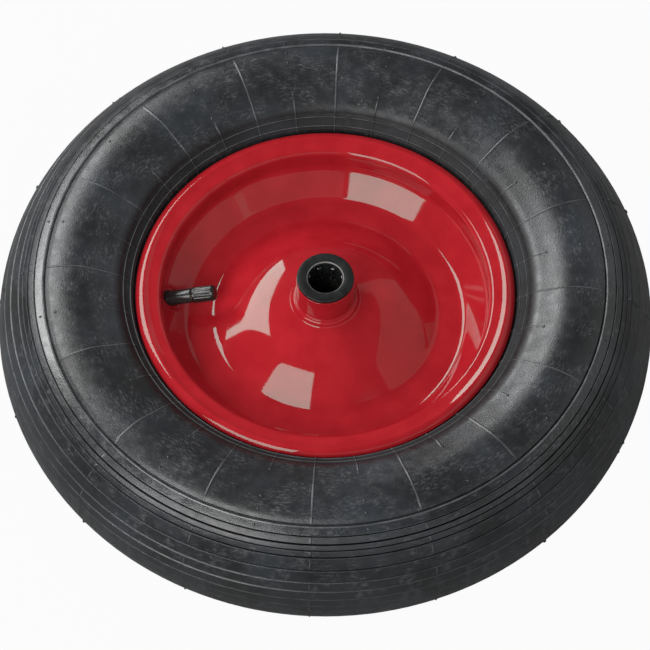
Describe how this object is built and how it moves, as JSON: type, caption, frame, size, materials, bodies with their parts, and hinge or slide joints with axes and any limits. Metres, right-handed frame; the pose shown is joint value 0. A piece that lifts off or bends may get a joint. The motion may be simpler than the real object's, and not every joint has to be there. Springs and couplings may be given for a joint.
{
  "type": "wheelbarrow wheel",
  "caption": "Pneumatic barrow wheel: ribbed tyre and tube on a two-piece pressed steel rim with valve, hub tube and flanged roller cages, lying on its side.",
  "frame": {"origin": "wheel centre: on the axle axis, midway between the rim halves", "axes": "+Z along the axle axis towards the valve side; +X and +Y across the wheel, the valve at azimuth 175.3 degrees"},
  "size_m": [0.4, 0.4, 0.1],
  "materials": {
    "tyre_rubber": "satin",
    "tube_rubber": "satin",
    "red_paint": "gloss",
    "cage_plastic": "satin",
    "roller_steel": "ground",
    "stem_rubber": "satin",
    "brass": "turned",
    "spring_steel": "drawn",
    "seal_rubber": "matte",
    "cap_plastic": "satin"
  },
  "bodies": {
    "wheel": {"tyre": "tyre_rubber", "inner_tube": "tube_rubber", "rim_half_upper": "red_paint", "rim_half_lower": "red_paint", "hub_tube": "red_paint", "hub_weld_upper": "red_paint", "hub_weld_lower": "red_paint", "valve_stem": "stem_rubber", "valve_body": "brass", "valve_core": "brass", "valve_spring": "spring_steel"},
    "cage_upper": {"roller_cage_upper": "cage_plastic"},
    "cage_lower": {"roller_cage_lower": "cage_plastic"},
    "pin": {"valve_pin": "brass", "valve_seal": "seal_rubber"},
    "cap_carrier": {"cap_seal": "seal_rubber"},
    "cap": {"valve_cap": "cap_plastic"},
    "roller_upper_1": {"roller_upper_1": "roller_steel"},
    "roller_upper_2": {"roller_upper_2": "roller_steel"},
    "roller_upper_3": {"roller_upper_3": "roller_steel"},
    "roller_upper_4": {"roller_upper_4": "roller_steel"},
    "roller_upper_5": {"roller_upper_5": "roller_steel"},
    "roller_upper_6": {"roller_upper_6": "roller_steel"},
    "roller_upper_7": {"roller_upper_7": "roller_steel"},
    "roller_upper_8": {"roller_upper_8": "roller_steel"},
    "roller_lower_1": {"roller_lower_1": "roller_steel"},
    "roller_lower_2": {"roller_lower_2": "roller_steel"},
    "roller_lower_3": {"roller_lower_3": "roller_steel"},
    "roller_lower_4": {"roller_lower_4": "roller_steel"},
    "roller_lower_5": {"roller_lower_5": "roller_steel"},
    "roller_lower_6": {"roller_lower_6": "roller_steel"},
    "roller_lower_7": {"roller_lower_7": "roller_steel"},
    "roller_lower_8": {"roller_lower_8": "roller_steel"}
  },
  "joints": [
    {"name": "cage_upper_spin", "type": "hinge", "parent": "wheel", "child": "cage_upper", "pos_m": [0, 0, 0.0367], "axis": [0, 0, 1], "continuous": true},
    {"name": "roller_upper_1_spin", "type": "hinge", "parent": "cage_upper", "child": "roller_upper_1", "pos_m": [0.01175, 0.00428, 0.0367], "axis": [0, 0, 1], "continuous": true},
    {"name": "roller_upper_2_spin", "type": "hinge", "parent": "cage_upper", "child": "roller_upper_2", "pos_m": [0.00528, 0.01133, 0.0367], "axis": [0, 0, 1], "continuous": true},
    {"name": "roller_upper_3_spin", "type": "hinge", "parent": "cage_upper", "child": "roller_upper_3", "pos_m": [-0.00428, 0.01175, 0.0367], "axis": [0, 0, 1], "continuous": true},
    {"name": "roller_upper_4_spin", "type": "hinge", "parent": "cage_upper", "child": "roller_upper_4", "pos_m": [-0.01133, 0.00528, 0.0367], "axis": [0, 0, 1], "continuous": true},
    {"name": "roller_upper_5_spin", "type": "hinge", "parent": "cage_upper", "child": "roller_upper_5", "pos_m": [-0.01175, -0.00428, 0.0367], "axis": [0, 0, 1], "continuous": true},
    {"name": "roller_upper_6_spin", "type": "hinge", "parent": "cage_upper", "child": "roller_upper_6", "pos_m": [-0.00528, -0.01133, 0.0367], "axis": [0, 0, 1], "continuous": true},
    {"name": "roller_upper_7_spin", "type": "hinge", "parent": "cage_upper", "child": "roller_upper_7", "pos_m": [0.00428, -0.01175, 0.0367], "axis": [0, 0, 1], "continuous": true},
    {"name": "roller_upper_8_spin", "type": "hinge", "parent": "cage_upper", "child": "roller_upper_8", "pos_m": [0.01133, -0.00528, 0.0367], "axis": [0, 0, 1], "continuous": true},
    {"name": "cage_lower_spin", "type": "hinge", "parent": "wheel", "child": "cage_lower", "pos_m": [0, 0, -0.0367], "axis": [0, 0, 1], "continuous": true},
    {"name": "roller_lower_1_spin", "type": "hinge", "parent": "cage_lower", "child": "roller_lower_1", "pos_m": [0.01175, -0.00428, -0.0367], "axis": [0, 0, 1], "continuous": true},
    {"name": "roller_lower_2_spin", "type": "hinge", "parent": "cage_lower", "child": "roller_lower_2", "pos_m": [0.00528, -0.01133, -0.0367], "axis": [0, 0, 1], "continuous": true},
    {"name": "roller_lower_3_spin", "type": "hinge", "parent": "cage_lower", "child": "roller_lower_3", "pos_m": [-0.00428, -0.01175, -0.0367], "axis": [0, 0, 1], "continuous": true},
    {"name": "roller_lower_4_spin", "type": "hinge", "parent": "cage_lower", "child": "roller_lower_4", "pos_m": [-0.01133, -0.00528, -0.0367], "axis": [0, 0, 1], "continuous": true},
    {"name": "roller_lower_5_spin", "type": "hinge", "parent": "cage_lower", "child": "roller_lower_5", "pos_m": [-0.01175, 0.00428, -0.0367], "axis": [0, 0, 1], "continuous": true},
    {"name": "roller_lower_6_spin", "type": "hinge", "parent": "cage_lower", "child": "roller_lower_6", "pos_m": [-0.00528, 0.01133, -0.0367], "axis": [0, 0, 1], "continuous": true},
    {"name": "roller_lower_7_spin", "type": "hinge", "parent": "cage_lower", "child": "roller_lower_7", "pos_m": [0.00428, 0.01175, -0.0367], "axis": [0, 0, 1], "continuous": true},
    {"name": "roller_lower_8_spin", "type": "hinge", "parent": "cage_lower", "child": "roller_lower_8", "pos_m": [0.01133, 0.00528, -0.0367], "axis": [0, 0, 1], "continuous": true},
    {"name": "valve_pin_press", "type": "slide", "parent": "wheel", "child": "pin", "axis": [-0.9365, 0.077, -0.342], "range_m": [0, 0.0015], "stiffness_N_per_m": 800, "springref_m": -0.001},
    {"name": "cap_lift", "type": "slide", "parent": "wheel", "child": "cap_carrier", "axis": [0.9365, -0.077, 0.342], "range_m": [0, 0.0076]},
    {"name": "cap_unscrew", "type": "hinge", "parent": "cap_carrier", "child": "cap", "pos_m": [-0.08269, 0.0068, 0.01589], "axis": [0.9365, -0.077, 0.342], "range_deg": [0, 3447.8]}
  ],
  "couplings": [
    {"joint": "roller_upper_1_spin", "follows": "cage_upper_spin", "ratio": -6.5217},
    {"joint": "roller_upper_2_spin", "follows": "cage_upper_spin", "ratio": -6.5217},
    {"joint": "roller_upper_3_spin", "follows": "cage_upper_spin", "ratio": -6.5217},
    {"joint": "roller_upper_4_spin", "follows": "cage_upper_spin", "ratio": -6.5217},
    {"joint": "roller_upper_5_spin", "follows": "cage_upper_spin", "ratio": -6.5217},
    {"joint": "roller_upper_6_spin", "follows": "cage_upper_spin", "ratio": -6.5217},
    {"joint": "roller_upper_7_spin", "follows": "cage_upper_spin", "ratio": -6.5217},
    {"joint": "roller_upper_8_spin", "follows": "cage_upper_spin", "ratio": -6.5217},
    {"joint": "roller_lower_1_spin", "follows": "cage_lower_spin", "ratio": -6.5217},
    {"joint": "roller_lower_2_spin", "follows": "cage_lower_spin", "ratio": -6.5217},
    {"joint": "roller_lower_3_spin", "follows": "cage_lower_spin", "ratio": -6.5217},
    {"joint": "roller_lower_4_spin", "follows": "cage_lower_spin", "ratio": -6.5217},
    {"joint": "roller_lower_5_spin", "follows": "cage_lower_spin", "ratio": -6.5217},
    {"joint": "roller_lower_6_spin", "follows": "cage_lower_spin", "ratio": -6.5217},
    {"joint": "roller_lower_7_spin", "follows": "cage_lower_spin", "ratio": -6.5217},
    {"joint": "roller_lower_8_spin", "follows": "cage_lower_spin", "ratio": -6.5217},
    {"joint": "cap_unscrew", "follows": "cap_lift", "rad_per_m": 7913.3}
  ]
}
